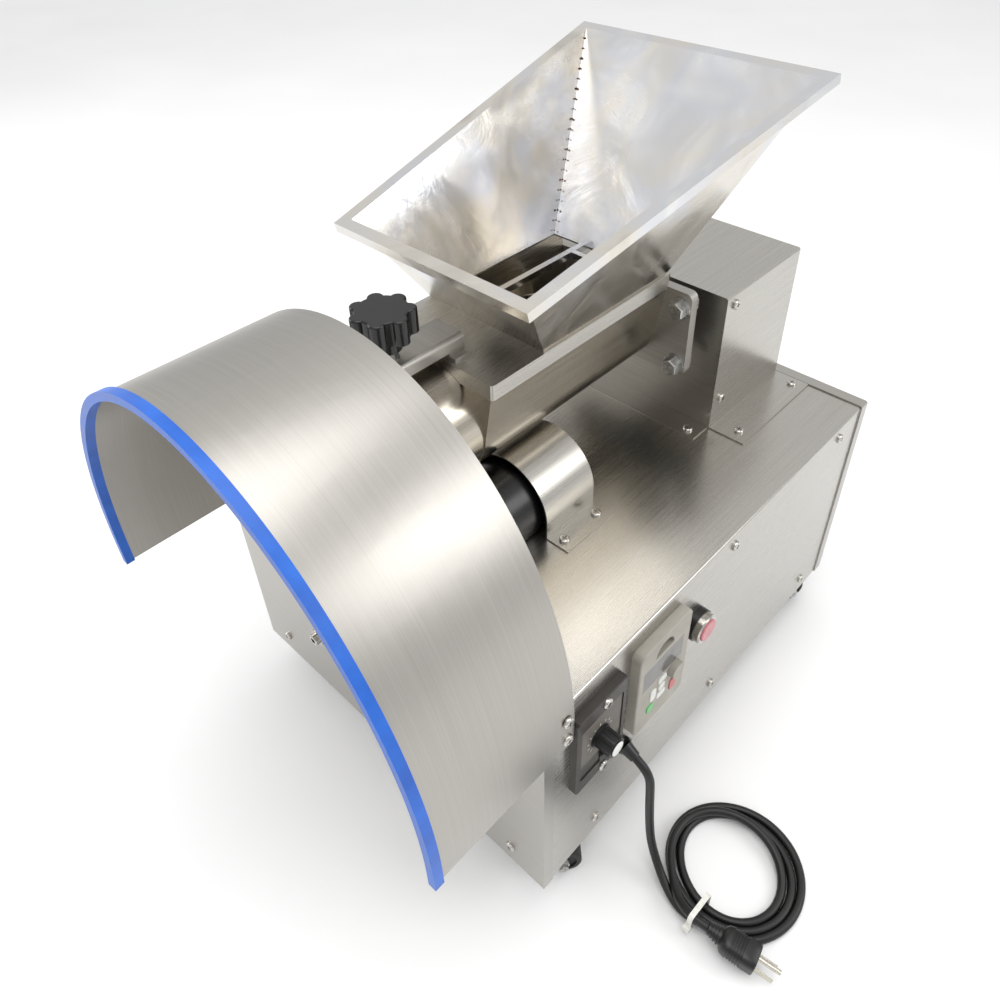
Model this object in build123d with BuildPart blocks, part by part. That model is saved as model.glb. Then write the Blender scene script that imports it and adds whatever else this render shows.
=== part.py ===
from build123d import *
import os
from math import cos, hypot, pi, radians, sin, sqrt, tan

# Table-top dough portioner: a hopper feeds a screw in a trough, the screw pushes the dough
# through a nozzle under a half-round guard, and a turning blade cuts off each piece.
#
# The model is built in the machine's own directions: X to the control side, Y from the open
# front to the back, Z up, with the floor at z = 0, the middle of the machine at x = 0 and the
# front panel at y = 0. Every piece is moved at the end so that the origin is the middle of the
# machine's footprint. All sizes are millimetres.

# ---------------------------------------------------------------- driving sizes
base_w = 420.0          # width of the cabinet, outside its sheet
base_l = 516.0          # length of the cabinet, over both end covers
base_h = 255.0          # height of the cabinet
caster_h = 50.0         # floor to the underside of the cabinet
sheet = 1.5             # stainless sheet
bottom_t = 3.0          # floor plate of the cabinet
front_lip = 12.0        # how far the front cover laps over the sides and top
back_lip = 13.0         # the same for the back cover

trough_top_w = 131.4    # trough across its top
trough_r = 55.0         # outside radius of the trough's round bottom
trough_l = 232.5        # trough, front wall to mounting flange
trough_front = 105.3    # front wall of the trough behind the front panel
trough_t = 2.0
auger_above_deck = 119.0
trough_rise = 57.1      # trough's top edge above the screw's axis
auger_r = 49.0
auger_core_r = 15.0
auger_pitch = 62.0
flight_t = 4.0
auger_shaft_r = 12.5
neck_r = 54.0           # outside radius of the round neck
nozzle_bore_r = 20.0
nozzle_wall = 2.5
nozzle_reach = 22.0     # nozzle's mouth in front of the front panel

hopper_front_rise = 81.0    # rim above the lid, at the front
hopper_back_rise = 158.0    # and at the back
hopper_side_slope = 0.38    # how far the walls lean out for each unit of height
hopper_front_slope = 0.64
hopper_back_slope = 0.727
hopper_front_gap = 60.0     # lid's front edge to the hopper's foot
hopper_foot_l = 163.6
hopper_wall = 2.0
rim_w = 9.0
lid_flange = 14.0

hood_w = 220.0
hood_h = 152.0
hood_front = 368.0
hood_foot = 40.0        # width of the feet beside the hood
hood_front_foot = 26.0

guard_half_h = 265.0    # height of the guard's round top above its straight legs
guard_leg_top = 277.0
guard_leg_bottom = 260.0
guard_front = -115.0
guard_back = 31.0
trim_w = 8.0
trim_t = 2.8

motor_x = 42.0          # cutter motor, beside the trough
motor_up = 19.0
motor_r = 40.0
motor_cover_r = 48.0
motor_cover_front = 141.0
motor_cover_l = 64.0
cutter_shaft_r = 6.0
blade_t = 3.0
blade_gap = 1.5
blade_l = 116.0
blade_w = 26.0
blade_park = -20.0      # resting angle of the blade, from +X

running_gap = 0.05      # shaft in its bearing
slide_gap = 0.3         # parts that lift, tilt or press
screw_r = 2.4           # M5 pan screws
screw_head_r = 5.0
screw_head_h = 3.0
cord_d = 8.3

# ---------------------------------------------------------------- sizes that follow
base_z = caster_h
deck_z = base_z + base_h
side_x = base_w / 2
lip_x = side_x + sheet
auger_z = deck_z + auger_above_deck
trough_top = auger_z + trough_rise
trough_back = trough_front + trough_l - 1.8
lid_top = trough_top + sheet
lid_half_w = trough_top_w / 2 + slide_gap + sheet
lid_front = trough_front - slide_gap - sheet
hopper_y0 = lid_front + hopper_front_gap
hopper_y1 = hopper_y0 + hopper_foot_l
hopper_half_w = trough_top_w / 2
nozzle_tip = -nozzle_reach
motor_z = deck_z + motor_up
shaft_x = motor_x - 18.0
shaft_z = motor_z + 18.0
gearhead_front = trough_front
# the guard clears the front cover's rounded top corners by a hair
cover_shoulder = deck_z + sheet - 3 - guard_leg_top
guard_in = (lip_x + 0.2) / sqrt(1 - (cover_shoulder / guard_half_h) ** 2)
motor_cover_back = motor_cover_front + motor_cover_l

os.makedirs("parts", exist_ok=True)
pieces = {}


def across(y):
    """Plane that faces the front at depth y, its own x and y being the machine's X and Z."""
    return Plane(origin=(0, y, 0), x_dir=(1, 0, 0), z_dir=(0, -1, 0))


def along(x):
    """Plane that faces the control side at x, its own x and y being the machine's Y and Z."""
    return Plane(origin=(x, 0, 0), x_dir=(0, 1, 0), z_dir=(1, 0, 0))


def spot(point, outward):
    """Place for a fastener: on the surface at point, its head towards outward."""
    return Plane(origin=point, z_dir=outward).location


# ---------------------------------------------------------------- where the M5 screws sit
front, back, right, left, up = (0, -1, 0), (0, 1, 0), (1, 0, 0), (-1, 0, 0), (0, 0, 1)
side_low = [(y, base_z + 23) for y in (73, base_l * 0.517, base_l - 56)]
side_high = [(y, deck_z - 16) for y in (base_l * 0.504, base_l - 55)]
side_spots = [spot((side_x, y, z), right) for y, z in side_low + side_high]
side_spots += [spot((-side_x, y, z), left) for y, z in side_low + side_high]
end_holes = [(x, z) for x in (38 - side_x, side_x - 38) for z in (base_z + 25, deck_z - 35)]
front_spots = [spot((x, 0, z), front) for x, z in end_holes]
back_spots = [spot((x, base_l, z), back) for x, z in end_holes]

hood_foot_spots = [spot((s * (hood_w / 2 + 26), y, deck_z + sheet), up)
                   for s in (-1, 1) for y in (hood_front + 15, base_l - back_lip - 12)]
plate_foot_spots = [spot((s * (hood_w / 2 - 14), hood_front - 17, deck_z + sheet), up)
                    for s in (-1, 1)]
hood_side_spots = [spot((s * hood_w / 2, hood_front + 15, deck_z + h), direction)
                   for s, direction in ((1, right), (-1, left)) for h in (31, hood_h - 12)]
cover_foot_spots = [spot((motor_x + s * (motor_cover_r + 12.5), y, deck_z + sheet), up)
                    for s in (-1, 1) for y in (motor_cover_front + 9, motor_cover_back - 11)]
guard_spots = [spot((s * (guard_in + sheet), 22.5, guard_leg_top + h), direction)
               for s, direction in ((1, right), (-1, left)) for h in (17, -6)]


def drill(places, radius=screw_r + 0.1, depth=12.0):
    """Screw holes through whatever is being built."""
    with Locations(*places):
        Cylinder(radius, depth, mode=Mode.SUBTRACT)


# ---------------------------------------------------------------- cabinet
speed_c = (63.0, 228.0)         # speed plate, centre in Y and Z
speed_size = (62.0, 102.0)
speed_t = 8.0
keypad_c = (144.5, 228.0)       # keypad of the motor drive
keypad_size = (73.0, 112.0)
keypad_t = 10.0
button_c = (206.5, 232.0)
gland_c = (107.0, 154.0)
main_motor_r = 44.0
main_motor_y = hood_front + 46.0

with BuildPart() as base_shell:
    with BuildSketch(across(base_l - sheet)):
        with Locations((0, base_z + base_h / 2)):
            Rectangle(base_w, base_h)
    extrude(amount=base_l - 2 * sheet)
    fillet(base_shell.edges().filter_by(Axis.Y).group_by(Axis.Z)[-1], 2.5)
    with BuildSketch(across(base_l - sheet)):
        with Locations((0, base_z + (base_h - sheet) / 2)):
            Rectangle(base_w - 2 * sheet, base_h - sheet)
    extrude(amount=base_l - 2 * sheet, mode=Mode.SUBTRACT)
    # openings behind the controls on the right side
    with BuildSketch(along(side_x - 2 * sheet)):
        with Locations(speed_c):
            Rectangle(speed_size[0] - 12, speed_size[1] - 30)
        with Locations(keypad_c):
            Rectangle(keypad_size[0] - 14, keypad_size[1] - 14)
        with Locations(button_c):
            Circle(14)
        with Locations(gland_c):
            Circle(6.1)
    extrude(amount=3 * sheet, mode=Mode.SUBTRACT)
    # openings in the deck for the two motors
    with BuildSketch(Plane.XY.offset(deck_z - 2 * sheet)):
        with Locations((0, main_motor_y)):
            Circle(main_motor_r + 2)
        with Locations((motor_x, (gearhead_front + motor_cover_back) / 2 - 2)):
            Rectangle(72, motor_cover_back - gearhead_front)
    extrude(amount=3 * sheet, mode=Mode.SUBTRACT)
    drill(side_spots + hood_foot_spots + plate_foot_spots + cover_foot_spots + guard_spots)
pieces["base_shell"] = base_shell


def end_cover(face_y, inward, lip):
    """Pan-shaped end cover: a flat panel with lips over the sides and top of the shell."""
    with BuildPart() as cover:
        with BuildSketch(across(face_y)):
            with Locations((0, base_z + (base_h + sheet) / 2)):
                Rectangle(base_w + 2 * sheet, base_h + sheet)
        extrude(amount=-inward * lip)
        fillet(cover.edges().filter_by(Axis.Y).group_by(Axis.Z)[-1], 3)
        with BuildSketch(across(face_y + inward * sheet)):
            with Locations((0, base_z + base_h / 2)):
                Rectangle(base_w, base_h)
        extrude(amount=-inward * (lip - sheet), mode=Mode.SUBTRACT)
    return cover


with BuildPart() as front_cover:
    add(end_cover(0, 1, front_lip).part)
    drill(front_spots)
    with Locations(spot((-102, 0, base_z + 84), front)):
        Cylinder(4.2, 12, mode=Mode.SUBTRACT)
pieces["front_cover"] = front_cover

with BuildPart() as back_cover:
    add(end_cover(base_l, -1, back_lip).part)
    drill(back_spots)
    with BuildSketch(across(base_l)):
        with Locations((0, base_z + base_h * 0.45)):
            with GridLocations(110, 16, 2, 6):
                SlotOverall(80, 5)
    extrude(amount=2 * sheet, mode=Mode.SUBTRACT)
pieces["back_cover"] = back_cover

with BuildPart() as bottom_plate:
    with BuildSketch(Plane.XY.offset(base_z)):
        with Locations((0, base_l / 2)):
            Rectangle(base_w - 2 * sheet, base_l - 2 * sheet)
    extrude(amount=bottom_t)
pieces["bottom_plate"] = bottom_plate

# ---------------------------------------------------------------- swivel casters
wheel_r = 19.0
wheel_w = 17.0
caster_trail = 18.0
caster_plate = 38.0
cup_h = 5.0
kingpin_r = 4.0
axle_r = 3.0
fork_t = 2.0
fork_top = base_z - 2 - cup_h - 0.1
caster_in = caster_plate / 2 + 14.0
caster_x = side_x - caster_plate / 2 - 10.0
caster_back_y = base_l - caster_in - 12.0
casters = {
    "front_right": (caster_x, caster_in, 45),
    "front_left": (-caster_x, caster_in, 120),
    "back_right": (caster_x, caster_back_y, 65),
    "back_left": (-caster_x, caster_back_y, 100),
}

with BuildPart() as caster_plates:
    for x, y, _ in casters.values():
        with BuildSketch(Plane(origin=(x, y, base_z - 2))):
            RectangleRounded(caster_plate, caster_plate, 4)
        extrude(amount=2)
        with BuildSketch(Plane(origin=(x, y, base_z - 2 - cup_h))):
            Circle(13)
        extrude(amount=cup_h, taper=-8)
        with BuildSketch(Plane(origin=(x, y, fork_top - fork_t - 0.2))):
            Circle(kingpin_r)
        extrude(amount=fork_t + 4)
        with BuildSketch(Plane(origin=(x, y, fork_top - fork_t - 1.7))):
            Circle(kingpin_r + 2.5)
        extrude(amount=1.5)
pieces["caster_plates"] = caster_plates


def caster_fork(x, y, heading):
    """Sheet fork that turns on the kingpin, with the axle and its two nuts."""
    half = wheel_w / 2 + 1.0
    turned = Location((x, y, 0), (0, 0, heading))
    with BuildPart() as fork:
        with BuildSketch(Plane(turned).offset(fork_top - fork_t)):
            with Locations((3, 0)):
                Rectangle(30, 2 * (half + fork_t))
            Circle(kingpin_r + running_gap, mode=Mode.SUBTRACT)
        extrude(amount=fork_t)
        cheek = Plane(turned * Plane.XZ.location)
        for start in (-half - fork_t, half):
            with BuildSketch(cheek.offset(start)):
                with Locations((3, fork_top - 1.5)):
                    Rectangle(30, 3)
                with Locations((caster_trail, wheel_r)):
                    Circle(7)
                make_hull()
            extrude(amount=fork_t)
        with BuildSketch(cheek.offset(-half - fork_t - 5)):
            with Locations((caster_trail, wheel_r)):
                Circle(axle_r)
        extrude(amount=2 * (half + fork_t + 5))
        for start in (-half - fork_t - 4, half + fork_t):
            with BuildSketch(cheek.offset(start)):
                with Locations((caster_trail, wheel_r)):
                    RegularPolygon(5, 6, major_radius=False)
            extrude(amount=4)
    return fork


def caster_wheel(x, y, heading):
    """Solid rubber wheel with a dished face."""
    turned = Location((x, y, 0), (0, 0, heading))
    hub = Plane(turned * Plane.XZ.location)
    with BuildPart() as wheel:
        with BuildSketch(hub.offset(-wheel_w / 2)):
            with Locations((caster_trail, wheel_r)):
                Circle(wheel_r)
        extrude(amount=wheel_w)
        fillet(wheel.edges(), 2.5)
        for start, depth in ((-wheel_w / 2, 2.0), (wheel_w / 2, -2.0)):
            with BuildSketch(hub.offset(start)):
                with Locations((caster_trail, wheel_r)):
                    Circle(wheel_r - 5)
                    Circle(6, mode=Mode.SUBTRACT)
            extrude(amount=depth, mode=Mode.SUBTRACT)
        with BuildSketch(hub.offset(-wheel_w / 2)):
            with Locations((caster_trail, wheel_r)):
                Circle(axle_r + running_gap)
        extrude(amount=wheel_w, mode=Mode.SUBTRACT)
    return wheel


for corner, place in casters.items():
    pieces["caster_fork_" + corner] = caster_fork(*place)
    pieces["caster_wheel_" + corner] = caster_wheel(*place)

# ---------------------------------------------------------------- trough, flange, neck and nozzle


def trough_section(y, inset, top):
    """Section of the trough: flared sides that run smoothly into a round bottom."""
    with BuildSketch(across(y)) as section:
        with Locations((0, auger_z)):
            Circle(trough_r - inset)
        with Locations((0, top - 1)):
            Rectangle(trough_top_w - 2 * inset, 2)
        make_hull()
    return section.sketch


with BuildPart() as trough:
    extrude(trough_section(trough_back, 0, trough_top), trough_back - trough_front)
    extrude(trough_section(trough_back, trough_t, trough_top + 2),
            trough_back - trough_front - trough_t, mode=Mode.SUBTRACT)
    with BuildSketch(across(trough_front + trough_t)):
        with Locations((0, auger_z)):
            Circle(neck_r - nozzle_wall)
    extrude(amount=2 * trough_t, mode=Mode.SUBTRACT)
pieces["trough"] = trough

flange_t = 5.0
flange_half_w = 91.5
flange_low = auger_z - 46
flange_high = auger_z + 43
flange_bolt_x = 80.0
flange_bolt_z = (auger_z - 36, auger_z + 26)
bolt_r = 5.0
shaft_hole_r = 14.0

with BuildPart() as trough_flange:
    for start in (trough_back + flange_t, trough_back + 2 * flange_t):
        with BuildSketch(across(start)):
            with Locations((0, (flange_low + flange_high) / 2)):
                RectangleRounded(2 * flange_half_w, flange_high - flange_low, 7)
            with Locations((0, auger_z)):
                Circle(shaft_hole_r, mode=Mode.SUBTRACT)
            with Locations(*[(s * flange_bolt_x, z) for s in (-1, 1) for z in flange_bolt_z]):
                Circle(bolt_r + 0.2, mode=Mode.SUBTRACT)
        extrude(amount=flange_t)
pieces["trough_flange"] = trough_flange

with BuildPart() as flange_bolt:
    with BuildSketch():
        Circle(11)
    extrude(amount=1.6)
    with BuildSketch(Plane.XY.offset(1.6)):
        RegularPolygon(7.5, 6, major_radius=False)
    extrude(amount=8)
    chamfer(flange_bolt.faces().sort_by(Axis.Z)[-1].edges(), 0.8)
    with BuildSketch():
        Circle(bolt_r)
    extrude(amount=-(2 * flange_t + 10))
    with BuildSketch(Plane.XY.offset(-2 * flange_t)):
        RegularPolygon(8, 6, major_radius=False)
        Circle(bolt_r, mode=Mode.SUBTRACT)
    extrude(amount=-8)

with BuildPart() as flange_bolts:
    with Locations(*[spot((s * flange_bolt_x, trough_back, z), front)
                     for s in (-1, 1) for z in flange_bolt_z]):
        add(flange_bolt.part)
pieces["flange_bolts"] = flange_bolts

neck_back = trough_front
cone_back = 50.0
cone_front = 16.0
axis_line = Axis((0, 0, auger_z), (0, 1, 0))
screw_y = 62.0          # clamp screw, behind the front panel
boss_r = 10.0
boss_top = lid_top + 5.4
stud_r = 5.0

with BuildPart() as nozzle_neck:
    with BuildSketch(Plane(origin=(0, 0, auger_z), x_dir=(0, 1, 0), z_dir=(1, 0, 0))):
        with BuildLine():
            Polyline((neck_back, neck_r), (cone_back, neck_r),
                     (cone_front, nozzle_bore_r + nozzle_wall),
                     (nozzle_tip, nozzle_bore_r + nozzle_wall),
                     (nozzle_tip, nozzle_bore_r), (cone_front, nozzle_bore_r),
                     (cone_back, neck_r - nozzle_wall), (neck_back, neck_r - nozzle_wall),
                     close=True)
        make_face()
    revolve(axis=axis_line)
    # threaded boss for the clamp screw, on top of the neck
    with BuildSketch(Plane(origin=(0, screw_y, boss_top))):
        RectangleRounded(24, 20, 5)
    extrude(amount=-(boss_top - auger_z - neck_r + 2.4))
    with BuildSketch(Plane(origin=(0, screw_y, boss_top))):
        Circle(stud_r + running_gap)
    extrude(amount=-6, mode=Mode.SUBTRACT)
pieces["nozzle_neck"] = nozzle_neck

# ---------------------------------------------------------------- screw in the trough
auger_y0 = cone_back + 7.0
auger_y1 = trough_back - 6.0
auger_tip = cone_back - 22.0
shaft_end = hood_front + 82.0

with BuildPart() as auger:
    with BuildLine():
        Helix(auger_pitch, auger_y1 - auger_y0, (auger_core_r + auger_r) / 2 - 1,
              center=(0, auger_y0, auger_z), direction=(0, 1, 0))
    start = auger.pending_edges[0]
    with BuildSketch(Plane(origin=start @ 0, x_dir=(start @ 0) - Vector(0, auger_y0, auger_z),
                           z_dir=start % 0)):
        Rectangle(auger_r - auger_core_r + 2, flight_t)
    sweep(is_frenet=True)
    with BuildSketch(across(auger_y1 + 3)):
        with Locations((0, auger_z)):
            Circle(auger_core_r)
    extrude(amount=auger_y1 + 3 - cone_back)
    with BuildSketch(across(cone_back)):
        with Locations((0, auger_z)):
            Circle(auger_core_r)
    extrude(amount=cone_back - auger_tip, taper=18)
    with BuildSketch(across(shaft_end)):
        with Locations((0, auger_z)):
            Circle(auger_shaft_r)
    extrude(amount=shaft_end - auger_y1)
pieces["auger"] = auger

# ---------------------------------------------------------------- lid and hopper
rim_front_y = hopper_y0 - hopper_front_slope * hopper_front_rise
rim_back_y = hopper_y1 + hopper_back_slope * hopper_back_rise
rim_front_x = hopper_half_w + hopper_side_slope * hopper_front_rise
rim_back_x = hopper_half_w + hopper_side_slope * hopper_back_rise
rim_run = rim_back_y - rim_front_y
rim_climb = hopper_back_rise - hopper_front_rise
rim_len = hypot(rim_run, rim_climb)
rim_plane = Plane(origin=(0, rim_front_y, lid_top + hopper_front_rise), x_dir=(1, 0, 0),
                  z_dir=(0, -rim_climb, rim_run))
tall = hopper_back_rise + 30.0


def foot_section(height, inset):
    """Hopper's outline at a height above the lid, drawn inset by the wall."""
    y0 = hopper_y0 - hopper_front_slope * height + inset
    y1 = hopper_y1 + hopper_back_slope * height - inset
    with BuildSketch(Plane(origin=(0, (y0 + y1) / 2, lid_top + height))) as outline:
        Rectangle(2 * (hopper_half_w + hopper_side_slope * height - inset), y1 - y0)
    return outline.sketch


def rim_outline(grow, depth=0.0):
    """Rim's outline in its own tilted plane, grown outwards and taken down by depth."""
    side = (rim_back_x - rim_front_x) / rim_len
    with BuildSketch(rim_plane.offset(-depth)) as outline:
        with BuildLine():
            Polyline((-rim_front_x - grow + side * grow, -grow),
                     (rim_front_x + grow - side * grow, -grow),
                     (rim_back_x + grow + side * grow, rim_len + grow),
                     (-rim_back_x - grow - side * grow, rim_len + grow), close=True)
        make_face()
    return outline.sketch


rim_fold = 8.5
with BuildPart() as rim:
    extrude(rim_outline(rim_w), -rim_fold)
    extrude(rim_outline(rim_w - sheet, sheet), -rim_fold, mode=Mode.SUBTRACT)
    loft([foot_section(0, hopper_wall), foot_section(tall, hopper_wall)], mode=Mode.SUBTRACT)

bar = 6.0
bar_x = -22.0
cross_bar_y = hopper_y1 - 27.0

with BuildPart() as hopper:
    loft([foot_section(0, 0), foot_section(tall, 0)])
    loft([foot_section(0, hopper_wall), foot_section(tall, hopper_wall)], mode=Mode.SUBTRACT)
    split(bisect_by=rim_plane, keep=Keep.BOTTOM)
    add(rim.part)
    # two square bars across the hopper's foot
    with BuildSketch(Plane.XY.offset(lid_top)):
        with Locations((bar_x, (hopper_y0 + hopper_y1) / 2)):
            Rectangle(bar, hopper_foot_l)
        with Locations(((bar_x + hopper_half_w) / 2, cross_bar_y)):
            Rectangle(hopper_half_w - bar_x, bar)
    extrude(amount=bar)
pieces["hopper"] = hopper

lid_l = trough_back - 2.3 - lid_front
with BuildPart() as hopper_lid:
    with BuildSketch(Plane.XY.offset(lid_top)):
        with Locations((0, lid_front + lid_l / 2)):
            Rectangle(2 * lid_half_w, lid_l)
    extrude(amount=-lid_flange)
    fillet(hopper_lid.edges().filter_by(Axis.Z), 3)
    with BuildSketch(Plane.XY.offset(lid_top - sheet)):
        with Locations((0, lid_front + sheet + lid_l / 2)):
            Rectangle(2 * (lid_half_w - sheet), lid_l)
    extrude(amount=-lid_flange, mode=Mode.SUBTRACT)
    with BuildSketch(Plane.XY.offset(lid_top)):
        with Locations((0, (hopper_y0 + hopper_y1) / 2)):
            Rectangle(2 * (hopper_half_w - hopper_wall), hopper_foot_l - 2 * hopper_wall)
    extrude(amount=-sheet, mode=Mode.SUBTRACT)
    # notch over the trough's round neck
    with BuildSketch(across(lid_front + 3)):
        with Locations((0, auger_z)):
            Circle(neck_r + slide_gap)
    extrude(amount=6, mode=Mode.SUBTRACT)
pieces["hopper_lid"] = hopper_lid

# ---------------------------------------------------------------- clamp at the front of the lid
tab_t = 3.0
lug_h = 12.0
lug_w = 12.0
slot_w = 2 * (stud_r + 0.6)
lug_z = boss_top + slide_gap
lug_front = screw_y - 14
lug_back = lid_front + 20

with BuildPart() as clamp_tab:
    with BuildSketch(Plane.XY.offset(lid_top)):
        with BuildLine():
            Polyline((-24, lid_front + 4), (24, lid_front + 4), (24, lid_front + 22),
                     (10, lid_front + 32), (-10, lid_front + 32), (-24, lid_front + 22), close=True)
        make_face()
    extrude(amount=tab_t)
    with BuildSketch(Plane.XY.offset(lug_z)):
        with Locations((0, (lug_front + lug_back) / 2)):
            Rectangle(slot_w + 2 * lug_w, lug_back - lug_front)
    extrude(amount=lug_h)
    top_edges = clamp_tab.edges().filter_by(Axis.Y).group_by(Axis.Z)[-1].sort_by(Axis.X)
    fillet([top_edges[0], top_edges[-1]], 4)
    with BuildSketch(Plane.XY.offset(lid_top + tab_t)):
        with Locations((0, lid_front + 12)):
            Rectangle(slot_w + 2 * lug_w, 16)
    extrude(amount=lug_z - lid_top - tab_t)
    with BuildSketch(Plane.XY.offset(lug_z)):
        with Locations((0, (lug_front + screw_y) / 2)):
            Rectangle(slot_w, screw_y - lug_front)
        with Locations((0, screw_y)):
            Circle(slot_w / 2)
    extrude(amount=lug_h, mode=Mode.SUBTRACT)
    # bored ends of the two prongs
    with BuildSketch(across(lug_front)):
        with Locations(*[(s * (slot_w + lug_w) / 2, lug_z + lug_h / 2) for s in (-1, 1)]):
            Circle(3.8)
    extrude(amount=-9, mode=Mode.SUBTRACT)
pieces["clamp_tab"] = clamp_tab

nut_top = lug_z + lug_h
hub_low = nut_top + 9.0
knob_r = 25.5

with BuildPart() as clamp_stud:
    with BuildSketch(Plane.XY.offset(nut_top)):
        with Locations((0, screw_y)):
            Circle(9)
    extrude(amount=2)
    with BuildSketch(Plane.XY.offset(nut_top + 2)):
        with Locations((0, screw_y)):
            RegularPolygon(7.5, 6, major_radius=False)
    extrude(amount=hub_low - nut_top - 2)
    with BuildSketch(Plane.XY.offset(boss_top - 5)):
        with Locations((0, screw_y)):
            Circle(stud_r)
    extrude(amount=hub_low + 12 - boss_top + 5)
pieces["clamp_stud"] = clamp_stud

with BuildPart() as clamp_knob:
    with BuildSketch(Plane.XY.offset(hub_low)):
        with Locations((0, screw_y)):
            Circle(12)
    extrude(amount=13)
    with BuildSketch(Plane.XY.offset(hub_low + 13)):
        with Locations((0, screw_y)):
            Circle(knob_r - 5)
            with PolarLocations(knob_r - 6.5, 7):
                Circle(6.5)
            with PolarLocations(knob_r + 1.5, 7, start_angle=180 / 7):
                Circle(6.0, mode=Mode.SUBTRACT)
    extrude(amount=20)
    fillet(clamp_knob.faces().sort_by(Axis.Z)[-1].edges(), 1.5)
    with BuildSketch(Plane.XY.offset(hub_low)):
        with Locations((0, screw_y)):
            Circle(stud_r)
    extrude(amount=12, mode=Mode.SUBTRACT)
pieces["clamp_knob"] = clamp_knob

# ---------------------------------------------------------------- drive housing on the deck
spigot_r = 29.0

with BuildPart() as drive_front_plate:
    with BuildSketch(across(hood_front + 24)):
        with Locations((0, deck_z + (hood_h - sheet) / 2)):
            Rectangle(hood_w - 2 * sheet, hood_h - sheet)
    extrude(amount=24)
    with BuildSketch(across(hood_front + 24)):
        with Locations((0, deck_z + (hood_h - sheet) / 2)):
            Rectangle(hood_w - 4 * sheet, hood_h - sheet)
    extrude(amount=24 - sheet, mode=Mode.SUBTRACT)
    with BuildSketch(across(hood_front + sheet)):
        with Locations((0, auger_z)):
            Circle(spigot_r + 1)
    extrude(amount=sheet, mode=Mode.SUBTRACT)
    with BuildSketch(Plane.XY.offset(deck_z)):
        with Locations((0, hood_front - hood_front_foot / 2)):
            Rectangle(hood_w - 2 * sheet, hood_front_foot)
    extrude(amount=sheet)
    drill(plate_foot_spots + hood_side_spots)
pieces["drive_front_plate"] = drive_front_plate

hood_back = base_l - back_lip - 0.5
hood_l = hood_back - hood_front
with BuildPart() as drive_hood:
    with BuildSketch(Plane.XY.offset(deck_z)):
        with Locations((0, hood_front + hood_l / 2)):
            Rectangle(hood_w, hood_l)
    extrude(amount=hood_h)
    fillet(drive_hood.edges().filter_by(Axis.Y).group_by(Axis.Z)[-1], 2.5)
    with BuildSketch(Plane.XY.offset(deck_z)):
        with Locations((0, hood_front + (hood_l - sheet) / 2)):
            Rectangle(hood_w - 2 * sheet, hood_l - sheet)
    extrude(amount=hood_h - sheet, mode=Mode.SUBTRACT)
    with BuildSketch(Plane.XY.offset(deck_z)):
        with Locations(*[(s * (hood_w + hood_foot) / 2, hood_front + hood_l / 2)
                         for s in (-1, 1)]):
            Rectangle(hood_foot, hood_l)
    extrude(amount=sheet)
    drill(hood_foot_spots + hood_side_spots)
pieces["drive_hood"] = drive_hood

housing_front = hood_front + 8.0
housing_back = hood_front + 84.0
housing_mid = (housing_front + housing_back) / 2
housing_l = housing_back - housing_front
housing_low = auger_z - 78.0
housing_high = auger_z + 28.0

with BuildPart() as gear_reducer:
    with BuildSketch(Plane.XY.offset(housing_low)):
        with Locations((0, housing_mid)):
            RectangleRounded(96, housing_l, 8)
    extrude(amount=housing_high - housing_low)
    # cooling ribs on both sides
    with BuildSketch(across(housing_back - 8)):
        with Locations(*[(s * 48, housing_low + 22 + 11 * i) for s in (-1, 1) for i in range(6)]):
            Rectangle(8, 3)
    extrude(amount=housing_l - 16)
    # round neck that the trough's flange is bolted to
    with BuildSketch(across(housing_front + 2)):
        with Locations((0, auger_z)):
            Circle(spigot_r - 1)
    extrude(amount=housing_front + 2 - trough_back - 2 * flange_t)
    # mounting plate on two feet that stand on the deck
    with BuildSketch(Plane.XY.offset(housing_low)):
        with Locations((0, housing_mid)):
            Rectangle(148, housing_l)
    extrude(amount=10)
    with BuildSketch(Plane.XY.offset(deck_z)):
        with Locations(*[(s * 66, housing_mid) for s in (-1, 1)]):
            Rectangle(16, housing_l)
    extrude(amount=housing_low - deck_z)
    with BuildSketch(across(housing_back)):
        with Locations((0, auger_z)):
            Circle(auger_shaft_r + running_gap)
    extrude(amount=housing_back - trough_back - 2 * flange_t, mode=Mode.SUBTRACT)
pieces["gear_reducer"] = gear_reducer

motor_low = base_z + 45.0
with BuildPart() as drive_motor:
    with BuildSketch(Plane.XY.offset(motor_low)):
        with Locations((0, main_motor_y)):
            Circle(main_motor_r - 8)
            with PolarLocations(main_motor_r - 6, 20):
                Rectangle(10, 3)
    extrude(amount=housing_low - motor_low)
    with BuildSketch(Plane.XY.offset(motor_low - 25)):
        with Locations((0, main_motor_y)):
            Circle(main_motor_r)
    extrude(amount=25)
    fillet(drive_motor.faces().sort_by(Axis.Z)[0].edges(), 6)
    with BuildSketch(along(main_motor_r - 12)):
        with Locations((main_motor_y, housing_low - 100)):
            Rectangle(60, 50)
    extrude(amount=28)
pieces["drive_motor"] = drive_motor

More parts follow.
